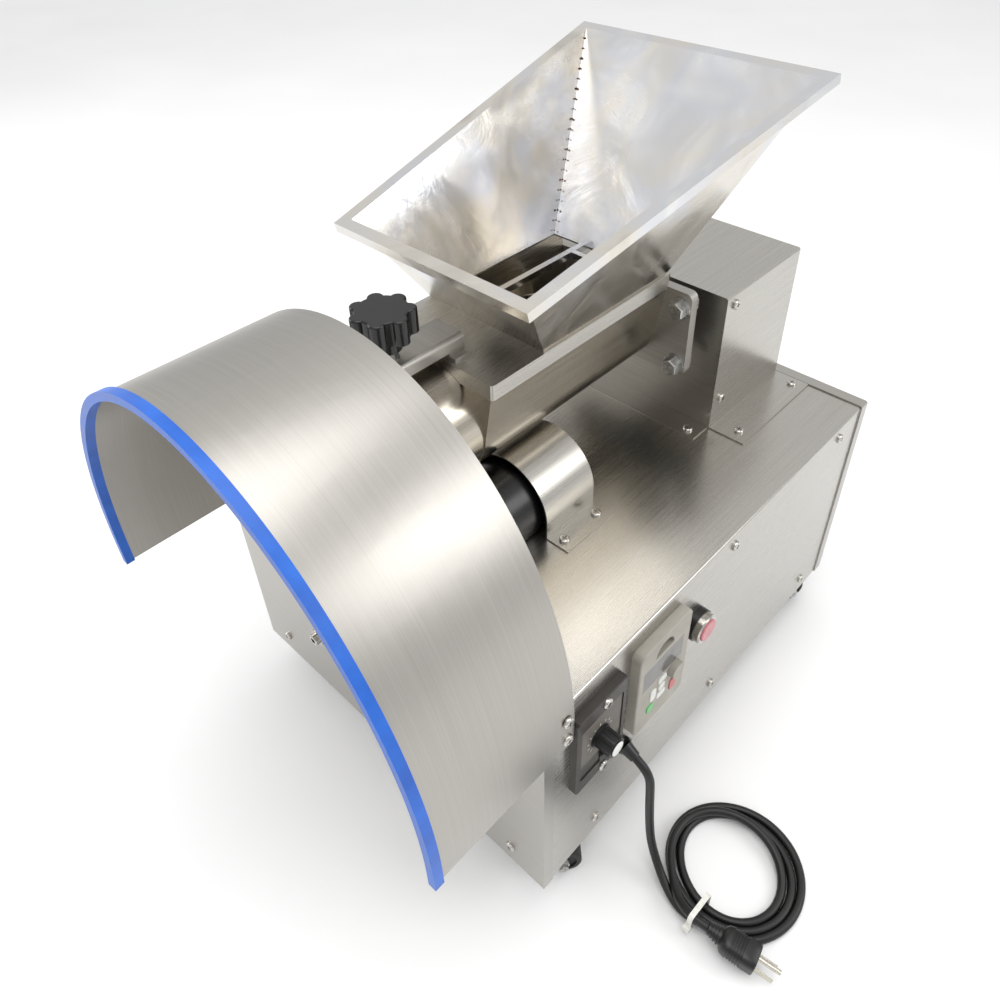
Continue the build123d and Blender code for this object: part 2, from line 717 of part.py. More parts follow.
# ---------------------------------------------------------------- cutter drive
with BuildPart() as cutter_motor:
    with BuildSketch(across(motor_cover_front)):
        with Locations((motor_x, motor_z)):
            Circle(motor_r)
    extrude(amount=motor_cover_front - gearhead_front)
    chamfer(cutter_motor.faces().sort_by(Axis.Y)[0].edges(), 2)
    with BuildSketch(across(motor_cover_back - 4)):
        with Locations((motor_x, motor_z)):
            Circle(motor_r - 4)
    extrude(amount=motor_cover_back - 4 - motor_cover_front)
    with BuildSketch(across(gearhead_front)):
        with Locations((shaft_x, shaft_z)):
            Circle(13)
    extrude(amount=4)
    # bolts that hold the gear case
    with BuildSketch(across(gearhead_front)):
        with Locations((motor_x, motor_z)):
            with PolarLocations(motor_r - 9, 2, start_angle=-22, angular_range=180):
                RegularPolygon(5, 6, major_radius=False)
    extrude(amount=4.5)
    with BuildSketch(across(gearhead_front + 18)):
        with Locations((shaft_x, shaft_z)):
            Circle(cutter_shaft_r + running_gap)
    extrude(amount=22, mode=Mode.SUBTRACT)
pieces["cutter_motor"] = cutter_motor

with BuildPart() as cutter_motor_cover:
    with BuildSketch(across(motor_cover_back)):
        with Locations((motor_x, motor_z)):
            Circle(motor_cover_r)
        with Locations((motor_x, deck_z + motor_up / 2)):
            Rectangle(2 * motor_cover_r, motor_up)
        with Locations((motor_x, deck_z - motor_cover_r / 2)):
            Rectangle(3 * motor_cover_r, motor_cover_r, mode=Mode.SUBTRACT)
        with Locations((motor_x, deck_z + sheet / 2)):
            Rectangle(2 * motor_cover_r + 48, sheet)
    extrude(amount=motor_cover_l)
    with BuildSketch(across(motor_cover_back - sheet)):
        with Locations((motor_x, motor_z)):
            Circle(motor_cover_r - sheet)
        with Locations((motor_x, deck_z + motor_up / 2)):
            Rectangle(2 * (motor_cover_r - sheet), motor_up)
    extrude(amount=motor_cover_l, mode=Mode.SUBTRACT)
    drill(cover_foot_spots)
pieces["cutter_motor_cover"] = cutter_motor_cover

bearing_y = guard_back + 2.0
bearing_l = 18.0
with BuildPart() as cutter_bearing:
    with BuildSketch(across(bearing_y)):
        with Locations((shaft_x, shaft_z)):
            Circle(17)
        with Locations((shaft_x, deck_z + 4)):
            Rectangle(40, 8)
        make_hull()
        with Locations((shaft_x, deck_z + 4)):
            Rectangle(70, 8)
        with Locations((shaft_x, shaft_z)):
            Circle(cutter_shaft_r + running_gap, mode=Mode.SUBTRACT)
    extrude(amount=bearing_l)
pieces["cutter_bearing"] = cutter_bearing

blade_back = nozzle_tip - blade_gap
hub_l = 13.0
with BuildPart() as cutter_shaft:
    with BuildSketch(across(gearhead_front + 16)):
        with Locations((shaft_x, shaft_z)):
            Circle(cutter_shaft_r)
    extrude(amount=gearhead_front + 16 - blade_back)
    with BuildSketch(across(blade_back + hub_l)):
        with Locations((shaft_x, shaft_z)):
            Circle(15)
    extrude(amount=hub_l)
    # grey disc in front of the gear case
    with BuildSketch(across(gearhead_front - 5)):
        with Locations((shaft_x, shaft_z)):
            Circle(25)
    extrude(amount=7)
pieces["cutter_shaft"] = cutter_shaft

park = Plane(origin=(shaft_x, blade_back, shaft_z), z_dir=(0, -1, 0),
             x_dir=(cos(radians(blade_park)), 0, sin(radians(blade_park))))
blade_bolts = [(0, 10.0), (0, -10.0)]
with BuildPart() as cutter_blade:
    with BuildSketch(park):
        Circle(15)
        with Locations((blade_l / 2, 0)):
            Rectangle(blade_l, blade_w)
        with Locations((blade_l + 3, -blade_w / 2)):
            Circle(12, mode=Mode.SUBTRACT)
        with Locations(*blade_bolts):
            Circle(3.1, mode=Mode.SUBTRACT)
    extrude(amount=blade_t)
pieces["cutter_blade"] = cutter_blade

with BuildPart() as cutter_bolts:
    with BuildSketch(park.offset(blade_t)):
        with Locations(*blade_bolts):
            RegularPolygon(5, 6, major_radius=False)
    extrude(amount=4)
    with BuildSketch(park):
        with Locations(*blade_bolts):
            Circle(3)
    extrude(amount=blade_t)
pieces["cutter_bolts"] = cutter_bolts

# ---------------------------------------------------------------- half-round guard


def arch(y, inner, outer, bottom):
    """Band between two half-ellipses on straight legs, each grown from the guard's inner face."""
    leg = guard_leg_top - bottom
    with BuildSketch(across(y)) as band:
        with Locations((0, guard_leg_top)):
            Ellipse(guard_in + outer, guard_half_h + outer)
        with Locations((0, guard_leg_top - guard_half_h)):
            Rectangle(3 * base_w, 2 * guard_half_h, mode=Mode.SUBTRACT)
        with Locations((0, guard_leg_top - leg / 2)):
            Rectangle(2 * (guard_in + outer), leg)
        with Locations((0, guard_leg_top)):
            Ellipse(guard_in + inner, guard_half_h + inner, mode=Mode.SUBTRACT)
        with Locations((0, guard_leg_top - leg)):
            Rectangle(2 * (guard_in + inner), 2 * leg, mode=Mode.SUBTRACT)
    return band.sketch


guard_edge = guard_front + 2.0
with BuildPart() as guard:
    extrude(arch(guard_back, 0, sheet, guard_leg_bottom), guard_back - guard_edge)
    # packing strips between the legs and the cabinet
    for side in (-1, 1):
        with BuildSketch(along(side * side_x)):
            with Locations((22.5, guard_leg_top + 5)):
                Rectangle(14, 38)
        extrude(amount=side * (guard_in - side_x))
    drill(guard_spots)
pieces["guard"] = guard

with BuildPart() as guard_trim:
    extrude(arch(guard_front + trim_w, -trim_t, sheet + trim_t, guard_leg_bottom), trim_w)
    extrude(arch(guard_front + trim_w, 0, sheet, guard_leg_bottom - 1), trim_w - 2,
            mode=Mode.SUBTRACT)
pieces["guard_trim"] = guard_trim

# ---------------------------------------------------------------- speed control
dial_c = (61.0, 233.0)          # speed knob, centre in Y and Z
rocker_c = (69.0, 198.0)
speed_face = side_x + speed_t
label_face = speed_face - 1.2
speed_spots = [spot((speed_face, speed_c[0] + 3, speed_c[1] + dz), right) for dz in (-45, 45)]
rocker_pivot_x = speed_face - 4.0
rocker_tilt = 9.0

with BuildPart() as speed_plate:
    with BuildSketch(along(side_x)):
        with Locations(speed_c):
            RectangleRounded(*speed_size, 3)
    extrude(amount=speed_t)
    chamfer(speed_plate.faces().sort_by(Axis.X)[-1].edges(), 0.8)
    with BuildSketch(along(speed_face)):
        with Locations(speed_c):
            RectangleRounded(speed_size[0] - 10, speed_size[1] - 32, 2)
    extrude(amount=label_face - speed_face, mode=Mode.SUBTRACT)
    # electronics behind the plate
    with BuildSketch(along(side_x)):
        with Locations(speed_c):
            Rectangle(speed_size[0] - 14, speed_size[1] - 32)
    extrude(amount=-30)
    with BuildSketch(along(speed_face)):
        with Locations(dial_c):
            Circle(3 + running_gap)
        with Locations(rocker_c):
            Rectangle(13.2, 20.8)
    extrude(amount=-14, mode=Mode.SUBTRACT)
    drill(speed_spots, depth=30)
pieces["speed_plate"] = speed_plate

with BuildPart() as speed_knob:
    with BuildSketch(along(label_face + slide_gap)):
        with Locations(dial_c):
            Circle(11)
    extrude(amount=2.5)
    with BuildSketch(along(label_face + slide_gap)):
        with Locations(dial_c):
            Circle(9.6)
            with PolarLocations(9.9, 18):
                Circle(0.7, mode=Mode.SUBTRACT)
    extrude(amount=17)
    with BuildSketch(along(label_face + slide_gap + 17)):
        with Locations(dial_c):
            Circle(7.4)
    extrude(amount=0.8)
    with BuildSketch(along(label_face - 10)):
        with Locations(dial_c):
            Circle(3)
    extrude(amount=11)
pieces["speed_knob"] = speed_knob

with BuildPart() as rocker:
    with BuildSketch(Plane(origin=(rocker_pivot_x, rocker_c[0] + 6.3, rocker_c[1]),
                           x_dir=(cos(radians(-rocker_tilt)), 0, sin(radians(-rocker_tilt))),
                           z_dir=(0, -1, 0))):
        with BuildLine():
            Polyline((-2.5, -7), (5.6, -8.6), (3.4, 0), (5.6, 8.6), (-2.5, 7), close=True)
        make_face()
    extrude(amount=12.6)
pieces["rocker"] = rocker

# ---------------------------------------------------------------- keypad of the motor drive
keypad_face = side_x + keypad_t
window_c = (142.5, 245.0)
window_size = (57.0, 27.0)
window_t = 1.2
keypad_dial_c = (160.5, 222.0)
key_travel = 0.8
key_rise = 1.2
keys = {
    "key_up": (143.5, 223.5, 12, 7.5),
    "key_enter": (143.5, 213.0, 9, 8),
    "key_down": (143.5, 202.5, 12, 7.5),
    "key_left": (131.0, 213.0, 8, 15),
    "key_run": (128.5, 196.0, 9, 9),
    "key_stop": (162.0, 198.0, 9, 14),
}

with BuildPart() as keypad_case:
    with BuildSketch(along(side_x)):
        with Locations(keypad_c):
            RectangleRounded(*keypad_size, 7)
    extrude(amount=keypad_t)
    fillet(keypad_case.faces().sort_by(Axis.X)[-1].edges(), 1.5)
    with BuildSketch(along(side_x)):
        with Locations(keypad_c):
            Rectangle(keypad_size[0] - 16, keypad_size[1] - 16)
    extrude(amount=-40)
    with BuildSketch(along(keypad_face)):
        with Locations(window_c):
            Rectangle(*window_size)
    extrude(amount=-window_t, mode=Mode.SUBTRACT)
    # half-round finger grip above the display
    with BuildSketch(along(keypad_face)):
        with Locations((window_c[0], 264)):
            Circle(13)
        with Locations((window_c[0], 264 - 10)):
            Rectangle(30, 20, mode=Mode.SUBTRACT)
    extrude(amount=-5, mode=Mode.SUBTRACT)
    with BuildSketch(along(keypad_face)):
        for y, z, w, h in keys.values():
            with Locations((y, z)):
                RectangleRounded(w + 2 * slide_gap, h + 2 * slide_gap, 2.5 + slide_gap)
        with Locations(keypad_dial_c):
            Circle(8.5 + slide_gap)
    extrude(amount=-3.2, mode=Mode.SUBTRACT)
    with BuildSketch(along(keypad_face - 3.2)):
        with Locations(keypad_dial_c):
            Circle(2 + running_gap)
    extrude(amount=-8, mode=Mode.SUBTRACT)
pieces["keypad_case"] = keypad_case

with BuildPart() as keypad_window:
    with BuildSketch(along(keypad_face - window_t)):
        with Locations(window_c):
            Rectangle(*window_size)
    extrude(amount=window_t)
pieces["keypad_window"] = keypad_window

with BuildPart() as keypad_dial:
    with BuildSketch(along(keypad_face - 3.2 + slide_gap)):
        with Locations(keypad_dial_c):
            Circle(8.5)
            with PolarLocations(8.7, 24):
                Circle(0.5, mode=Mode.SUBTRACT)
    extrude(amount=9)
    with BuildSketch(along(keypad_face - 10)):
        with Locations(keypad_dial_c):
            Circle(2)
    extrude(amount=8)
pieces["keypad_dial"] = keypad_dial


def key_cap(y, z, w, h):
    """One key, with room behind it for its travel."""
    with BuildPart() as cap:
        with BuildSketch(along(keypad_face - 3.2 + key_travel + 0.2)):
            with Locations((y, z)):
                RectangleRounded(w, h, 2.5)
        extrude(amount=3.2 - key_travel - 0.2 + key_rise)
        fillet(cap.faces().sort_by(Axis.X)[-1].edges(), 0.5)
    return cap


for name, key in keys.items():
    pieces[name] = key_cap(*key)

# ---------------------------------------------------------------- push button
cap_r = 11.3
bezel_face = side_x + 14.0
button_travel = 4.0

with BuildPart() as button_collar:
    with BuildSketch(along(side_x)):
        with Locations(button_c):
            Circle(16)
    extrude(amount=7)
    with BuildSketch(along(side_x)):
        with Locations(button_c):
            Circle(13.8)
    extrude(amount=-sheet)
    with BuildSketch(along(side_x - sheet)):
        with Locations(button_c):
            Rectangle(30, 30)
    extrude(amount=-30)
    with BuildSketch(along(side_x + 7)):
        with Locations(button_c):
            Circle(cap_r + 0.1)
    extrude(amount=-14, mode=Mode.SUBTRACT)
pieces["button_collar"] = button_collar

with BuildPart() as button_bezel:
    with BuildSketch(along(side_x + 7)):
        with Locations(button_c):
            Circle(14.85)
            Circle(cap_r + running_gap, mode=Mode.SUBTRACT)
    extrude(amount=7)
    chamfer(button_bezel.faces().sort_by(Axis.X)[-1].edges().sort_by(SortBy.RADIUS)[-1], 1.2)
pieces["button_bezel"] = button_bezel

with BuildPart() as button_cap:
    with BuildSketch(along(side_x - 7 + button_travel + 1.5)):
        with Locations(button_c):
            Circle(cap_r)
    extrude(amount=bezel_face + 1.5 - (side_x - 7 + button_travel + 1.5))
    fillet(button_cap.faces().sort_by(Axis.X)[-1].edges(), 1)
pieces["button_cap"] = button_cap

# ---------------------------------------------------------------- fasteners
with BuildPart() as pan_screw:
    with BuildSketch():
        Circle(screw_head_r)
    extrude(amount=screw_head_h)
    fillet(pan_screw.faces().sort_by(Axis.Z)[-1].edges(), 1.8)
    with BuildSketch(Plane.XY.offset(screw_head_h)):
        Rectangle(5.2, 1.1)
        Rectangle(1.1, 5.2)
    extrude(amount=-1.6, mode=Mode.SUBTRACT)
    with BuildSketch():
        Circle(screw_r)
    extrude(amount=-5)

with BuildPart() as panel_screws:
    with Locations(*side_spots, *front_spots, *back_spots, *speed_spots, *guard_spots):
        add(pan_screw.part)
    with Locations(*hood_foot_spots, *plate_foot_spots, *hood_side_spots, *cover_foot_spots):
        add(pan_screw.part)
pieces["panel_screws"] = panel_screws

with BuildPart() as front_bolt:
    with BuildSketch(across(0)):
        with Locations((-102, base_z + 84)):
            Circle(9.5)
    extrude(amount=1.5)
    with BuildSketch(across(-1.5)):
        with Locations((-102, base_z + 84)):
            Circle(6.5)
    extrude(amount=5)
    chamfer(front_bolt.faces().sort_by(Axis.Y)[0].edges(), 0.6)
    with BuildSketch(across(-6.5)):
        with Locations((-102, base_z + 84)):
            RegularPolygon(3, 6, major_radius=False)
    extrude(amount=-4, mode=Mode.SUBTRACT)
    with BuildSketch(across(0)):
        with Locations((-102, base_z + 84)):
            Circle(4.1)
    extrude(amount=-10)
pieces["front_bolt"] = front_bolt

# ---------------------------------------------------------------- mains lead
gland_droop = radians(25)
boot_at = Plane(origin=(side_x + 4, *gland_c), x_dir=(0, 1, 0),
                z_dir=(cos(gland_droop), 0, -sin(gland_droop)))
gland_boot = 12.0
cord_exit = boot_at.origin + boot_at.z_dir * gland_boot

with BuildPart() as cable_gland:
    with BuildSketch(along(side_x)):
        with Locations(gland_c):
            RegularPolygon(8, 6, major_radius=False)
    extrude(amount=4)
    with BuildSketch(boot_at.offset(-1)):
        Circle(6.8)
    extrude(amount=1 + gland_boot, taper=6)
    with BuildSketch(along(side_x)):
        with Locations(gland_c):
            Circle(6)
    extrude(amount=-10)
    with BuildSketch(along(side_x - sheet)):
        with Locations(gland_c):
            RegularPolygon(9, 6, major_radius=False)
    extrude(amount=-4)
pieces["cable_gland"] = cable_gland

lead_route = [
    cord_exit, cord_exit + boot_at.z_dir * 9.5, (239.6, 107, 138.6), (243.0, 107.1, 130.6),
    (244.4, 107.3, 113.0), (246.8, 106.8, 84.0), (250.5, 106.0, 55.0), (255.0, 104.5, 37.5),
    (264.6, 100.8, 22.6), (278.0, 94.6, 12.0), (294.0, 88.4, 6.2), (310.5, 85.6, 4.6),
]
coil_c = (320.5, 149.5)
coil_out = 68.5
coil_in = 43.0
coil_h = 17.0


def cord_tube(name, route):
    """Tube along straight runs joined by the widest arcs that the runs allow."""
    points = [Vector(p) for p in route]
    radii = []
    for before, corner, after in zip(points, points[1:], points[2:]):
        turn = radians((corner - before).get_angle(after - corner))
        shorter = min((corner - before).length, (after - corner).length)
        radii.append(0.45 * shorter / tan(turn / 2))
    with BuildPart() as tube:
        with BuildLine() as path:
            FilletPolyline(*points, radius=radii)
        with BuildSketch(Plane(origin=points[0], z_dir=points[1] - points[0])):
            Circle(cord_d / 2)
        sweep(path=path.line)
    length = sum(edge.length for edge in path.line.edges())
    section = pi * cord_d ** 2 / 4
    print(name, "radii", [round(r) for r in radii], "length", round(length),
          "volume ratio", round(tube.part.volume / (section * length), 4))
    return tube


plug_turn, plug_dip = radians(10), radians(5)
plug_at = Plane(origin=(333.0, 84.5, 20.5), x_dir=(-sin(plug_turn), cos(plug_turn), 0),
                z_dir=(cos(plug_turn) * cos(plug_dip), sin(plug_turn) * cos(plug_dip),
                       -sin(plug_dip)))
tail_route = [(293.8, 92.6, 13.6), (302.8, 86.8, 17.2), (312.9, 83.4, 20.0),
              plug_at.origin - plug_at.z_dir * 10, plug_at.origin]

pieces["power_cord"] = cord_tube("power_cord", lead_route)
pieces["cord_tail"] = cord_tube("cord_tail", tail_route)

tie_angle = radians(-92)
tie_w = 4.8
tie_t = 1.2
tie_in, tie_out = coil_in - 1.0, coil_out + 2.0
tie_l = tie_out - tie_in
tie_h = 24.0             # over the coil and the plug's end of the lead
tie_mid = (tie_in + tie_out) / 2
tie_plane = Plane(origin=(coil_c[0] + tie_mid * cos(tie_angle),
                          coil_c[1] + tie_mid * sin(tie_angle), tie_h / 2 + tie_t),
                  x_dir=(cos(tie_angle), sin(tie_angle), 0),
                  z_dir=(sin(tie_angle), -cos(tie_angle), 0)).offset(-tie_w / 2)

with BuildPart() as cord_tie:
    with BuildSketch(tie_plane):
        RectangleRounded(tie_l + 2 * tie_t, tie_h + 2 * tie_t, 5)
        RectangleRounded(tie_l, tie_h, 4, mode=Mode.SUBTRACT)
    extrude(amount=tie_w)
    with BuildSketch(tie_plane.offset(-0.8)):
        with Locations((tie_l / 2 + tie_t + 2.2, -4)):
            Rectangle(5, 7)
    extrude(amount=tie_w + 1.6)
pieces["cord_tie"] = cord_tie

plug_boot = 14.0
plug_l = 33.0
plug_w, plug_h = 25.0, 21.5
blade_h = 6.3

with BuildPart() as plug_body:
    with BuildSketch(plug_at):
        Circle(5)
    extrude(amount=plug_boot, taper=-14)
    with BuildSketch(plug_at.offset(plug_boot)):
        RectangleRounded(plug_w, plug_h, 6)
    extrude(amount=plug_l)
    fillet(plug_body.faces().sort_by(Axis((0, 0, 0), plug_at.z_dir))[-1].edges(), 1)
pieces["plug_body"] = plug_body

with BuildPart() as plug_blades:
    with BuildSketch(plug_at.offset(plug_boot + plug_l)):
        with Locations(*[(s * 6.35, -plug_at.y_dir.Z * 3.9) for s in (-1, 1)]):
            Rectangle(1.5, blade_h)
    extrude(amount=17)
    with BuildSketch(plug_at.offset(plug_boot + plug_l)):
        with Locations((0, plug_at.y_dir.Z * 6.5)):
            Circle(2.4)
    extrude(amount=20)
pieces["plug_blades"] = plug_blades

with BuildPart() as cord_coil:
    with BuildSketch(Plane(origin=(*coil_c, 0))):
        Circle(coil_out)
        Circle(coil_in, mode=Mode.SUBTRACT)
    extrude(amount=coil_h)
    chamfer(cord_coil.edges(), 3)
    # hollow that the plug lies in
    with BuildSketch(plug_at.offset(-slide_gap)):
        Rectangle(plug_w + 2 * slide_gap, plug_h + 2 * slide_gap)
    extrude(amount=plug_boot + plug_l + 20, mode=Mode.SUBTRACT)
pieces["cord_coil"] = cord_coil

# ---------------------------------------------------------------- write the pieces
lead = {"power_cord", "cord_coil", "cord_tail", "cord_tie", "plug_body", "plug_blades"}
footprint = [piece.part.bounding_box() for name, piece in pieces.items() if name not in lead]
middle_x = (min(b.min.X for b in footprint) + max(b.max.X for b in footprint)) / 2
middle_y = (min(b.min.Y for b in footprint) + max(b.max.Y for b in footprint)) / 2
to_origin = Location((-middle_x, -middle_y, 0))
print("middle of the footprint", round(middle_x, 4), round(middle_y, 4))

for name, piece in pieces.items():
    moved = piece.part.moved(to_origin)
    moved.label = name
    export_step(moved, f"parts/{name}.step")
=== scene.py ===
from math import cos, pi, radians, sin

import bmesh
import bpy
from mathutils import Matrix, Vector


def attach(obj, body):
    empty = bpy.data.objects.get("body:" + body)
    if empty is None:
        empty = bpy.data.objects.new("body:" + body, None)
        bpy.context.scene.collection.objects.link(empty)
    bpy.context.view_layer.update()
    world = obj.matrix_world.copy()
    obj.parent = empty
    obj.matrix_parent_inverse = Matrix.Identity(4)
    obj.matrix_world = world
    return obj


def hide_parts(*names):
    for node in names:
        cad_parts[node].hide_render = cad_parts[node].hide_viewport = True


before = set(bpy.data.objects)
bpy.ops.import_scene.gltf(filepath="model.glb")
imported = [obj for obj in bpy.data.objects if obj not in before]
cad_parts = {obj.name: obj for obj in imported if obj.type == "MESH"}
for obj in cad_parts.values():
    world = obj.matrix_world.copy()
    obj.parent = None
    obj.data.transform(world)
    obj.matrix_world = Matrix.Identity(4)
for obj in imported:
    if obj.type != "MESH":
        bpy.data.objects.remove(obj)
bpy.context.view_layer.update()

# ---- Camera ------------------------------------------------------------------------------------
# Stands at the control side of the open front, a little above the hopper's rim, and looks down
# across the machine.
camera_data = bpy.data.cameras.new("studio_camera")
camera_data.sensor_width = 36.0
camera_data.lens = 30.49
camera_data.shift_x = -0.0151
camera_data.shift_y = -0.0884
camera_data.clip_start = 0.05
camera = bpy.data.objects.new("studio_camera", camera_data)
camera.location = (0.42344, -0.45276, 0.85745)
camera.rotation_euler = (radians(51.8951), radians(1.1213), radians(43.0797))
bpy.context.scene.collection.objects.link(camera)
bpy.context.scene.camera = camera

# ---- Mains lead --------------------------------------------------------------------------------
# Three-core rubber lead, 8.3 mm thick. It comes down from its gland beside the speed control,
# lies on the floor in three loose turns and ends in a moulded plug on top of them.
foot_x, foot_y = 8.8167, 202.0          # millimetres, from the cabinet's axes to the frame's


def placed(x, y, z):
    """Point in the frame, in metres, from millimetres on the cabinet's own axes."""
    return Vector(((x - foot_x) / 1000, (y - foot_y) / 1000, z / 1000))


def shade(hex_colour):
    """Linear colour of an sRGB hex value."""
    parts = [int(hex_colour[i:i + 2], 16) / 255 for i in (0, 2, 4)]
    return [c / 12.92 if c <= 0.04045 else ((c + 0.055) / 1.055) ** 2.4 for c in parts] + [1.0]


def add_node(tree, kind, links=None, **settings):
    """New node: settings by property or socket name, links from socket name to other's output."""
    node = tree.nodes.new(kind)
    for key, value in settings.items():
        if hasattr(node, key):
            setattr(node, key, value)
        else:
            node.inputs[key.replace("_", " ")].default_value = value
    for key, source in (links or {}).items():
        tree.links.new(source, node.inputs[key])
    return node


def new_finish(name):
    """Empty material with its output and shader: returns the material, tree and shader."""
    finish = bpy.data.materials.new(name)
    finish.use_nodes = True
    tree = finish.node_tree
    tree.nodes.clear()
    shader = tree.nodes.new("ShaderNodeBsdfPrincipled")
    output = tree.nodes.new("ShaderNodeOutputMaterial")
    tree.links.new(shader.outputs["BSDF"], output.inputs["Surface"])
    return finish, tree, shader


def colour_ramp(tree, source, stops):
    """Ramp from one factor to colours at the given places."""
    ramp = tree.nodes.new("ShaderNodeValToRGB")
    while len(ramp.color_ramp.elements) < len(stops):
        ramp.color_ramp.elements.new(0.5)
    for element, (place, colour) in zip(ramp.color_ramp.elements, stops):
        element.position = place
        element.color = shade(colour)
    tree.links.new(source, ramp.inputs["Fac"])
    return ramp


def moulded(name, dark, light, roughness, grain_mm, bump, spread=0.12):
    """Moulded plastic or rubber: fine grain, faint handling marks and uneven gloss."""
    finish, tree, shader = new_finish(name)
    place = add_node(tree, "ShaderNodeTexCoord").outputs["Object"]
    patches = add_node(tree, "ShaderNodeTexNoise", {"Vector": place}, Scale=38.0, Detail=4.0)
    grain = add_node(tree, "ShaderNodeTexNoise", {"Vector": place}, Scale=1000 / grain_mm,
                     Detail=2.0)
    tint = colour_ramp(tree, patches.outputs["Fac"], [(0.3, dark), (0.7, light)])
    gloss = add_node(tree, "ShaderNodeMapRange", {"Value": patches.outputs["Fac"]})
    gloss.inputs["To Min"].default_value = roughness - spread / 2
    gloss.inputs["To Max"].default_value = roughness + spread / 2
    relief = add_node(tree, "ShaderNodeBump", {"Height": grain.outputs["Fac"]},
                      Strength=bump, Distance=grain_mm / 4000)
    tree.links.new(tint.outputs["Color"], shader.inputs["Base Color"])
    tree.links.new(gloss.outputs["Result"], shader.inputs["Roughness"])
    tree.links.new(relief.outputs["Normal"], shader.inputs["Normal"])
    return finish


def place_mesh(form, name, body, finish, smooth=True):
    """Turns a finished bmesh into a piece that rides on a body."""
    mesh = bpy.data.meshes.new(name)
    form.to_mesh(mesh)
    form.free()
    piece = bpy.data.objects.new(name, mesh)
    bpy.context.scene.collection.objects.link(piece)
    mesh.materials.append(finish)
    if smooth:
        mesh.shade_smooth()
        mesh.set_sharp_from_angle(angle=radians(38))
    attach(piece, body)
    return piece


def refinish(finish, *nodes):
    """Gives a finish to pieces that keep their own shape."""
    for node in nodes:
        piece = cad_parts[node]
        for held in piece.material_slots:
            held.material = finish


# the lead's run, from the gland's mouth to the floor, in millimetres
lead_run = [
    (224.876, 107.0, 148.929), (233.486, 107.0, 144.914), (239.6, 107.0, 138.6),
    (243.0, 107.1, 130.6), (244.4, 107.3, 113.0), (246.8, 106.8, 84.0), (250.5, 106.0, 55.0),
    (255.0, 104.5, 37.5), (264.6, 100.8, 22.6), (278.0, 94.6, 12.0), (294.0, 88.4, 6.2),
    (310.5, 85.6, 4.6),
]
coil_x, coil_y = 320.5, 149.5


def eased(turn, start, end):
    """0 before start, 1 after end, and a smooth step between, in turns."""
    share = min(max((turn - start) / (end - start), 0.0), 1.0)
    return share * share * (3 - 2 * share)


turns = []
for step in range(2, 47):
    turn = step / 16
    radius = 64.2 - 8.5 * eased(turn, 0.7, 1.0) - 8.4 * eased(turn, 1.68, 1.96)
    radius += 13.6 * eased(turn, 2.5, 2.84)
    rise = 4.4 + 8.6 * eased(turn, 2.3, 2.56)
    angle = radians(-99 + 360 * turn)
    stretch = 1.0 + 0.02 * sin(2 * angle + turn)
    turns.append((coil_x + radius * stretch * cos(angle), coil_y + radius * stretch * sin(angle),
                  rise))
lead_end = [
    (293.8, 92.6, 13.8), (302.8, 86.8, 17.2), (312.9, 83.4, 20.0), (323.19, 82.77, 21.37),
    (333.0, 84.5, 20.5),
]
lead_points = [placed(*p) for p in lead_run + turns + lead_end]

lead_curve = bpy.data.curves.new("mains_lead", "CURVE")
lead_curve.dimensions = "3D"
lead_curve.resolution_u = 6
lead_curve.bevel_depth = 0.00415
lead_curve.bevel_resolution = 5
lead_line = lead_curve.splines.new("NURBS")
lead_line.points.add(len(lead_points) - 1)
for control, point in zip(lead_line.points, lead_points):
    control.co = (*point, 1.0)
lead_line.order_u = 3
lead_line.use_endpoint_u = True
mains_lead = bpy.data.objects.new("mains_lead", lead_curve)
bpy.context.scene.collection.objects.link(mains_lead)

lead_line_copy = lead_curve.copy()
lead_line_copy.bevel_depth = 0.0
line_holder = bpy.data.objects.new("lead_centre", lead_line_copy)
line_mesh = bpy.data.meshes.new_from_object(line_holder)
bpy.data.objects.remove(line_holder)
bpy.data.curves.remove(lead_line_copy)
bpy.data.meshes.remove(line_mesh)

# extruded rubber: a satin skin with a fine grain
lead_rubber = moulded("satin_rubber_lead", "060606", "101010", 0.42, 0.9, 0.25)
lead_curve.materials.append(lead_rubber)
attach(mains_lead, "machine")
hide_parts("power_cord", "cord_coil", "cord_tail")

# ---- Plug --------------------------------------------------------------------------------------
# Grounded two-blade plug, moulded on in black vinyl: a ringed boot, a waisted body with grip
# ribs, and nickel-plated blades.
plug_turn, plug_dip = radians(10), radians(5)
plug_out = Vector((cos(plug_turn) * cos(plug_dip), sin(plug_turn) * cos(plug_dip), -sin(plug_dip)))
plug_side = Vector((-sin(plug_turn), cos(plug_turn), 0))
plug_up = plug_out.cross(plug_side)
plug_frame = Matrix.Translation(placed(333.0, 84.5, 20.5)) @ Matrix(
    (plug_side, plug_up, plug_out)).transposed().to_4x4()


def rounded_ring(form, half_w, half_h, height, sides=32, square=4.0):
    """Ring of vertices round a soft-cornered rectangle at a height along local Z."""
    ring = []
    for k in range(sides):
        angle = 2 * pi * k / sides
        c, s = cos(angle), sin(angle)
        reach = (abs(c / half_w) ** square + abs(s / half_h) ** square) ** (-1 / square)
        ring.append(form.verts.new((reach * c / 1000, reach * s / 1000, height / 1000)))
    return ring


def skinned(form, rings):
    """Joins rings in order and closes both ends."""
    for low, high in zip(rings, rings[1:]):
        for k in range(len(low)):
            n = (k + 1) % len(low)
            form.faces.new((low[k], low[n], high[n], high[k]))
    form.faces.new(list(reversed(rings[0])))
    form.faces.new(rings[-1])
    bmesh.ops.recalc_face_normals(form, faces=form.faces)


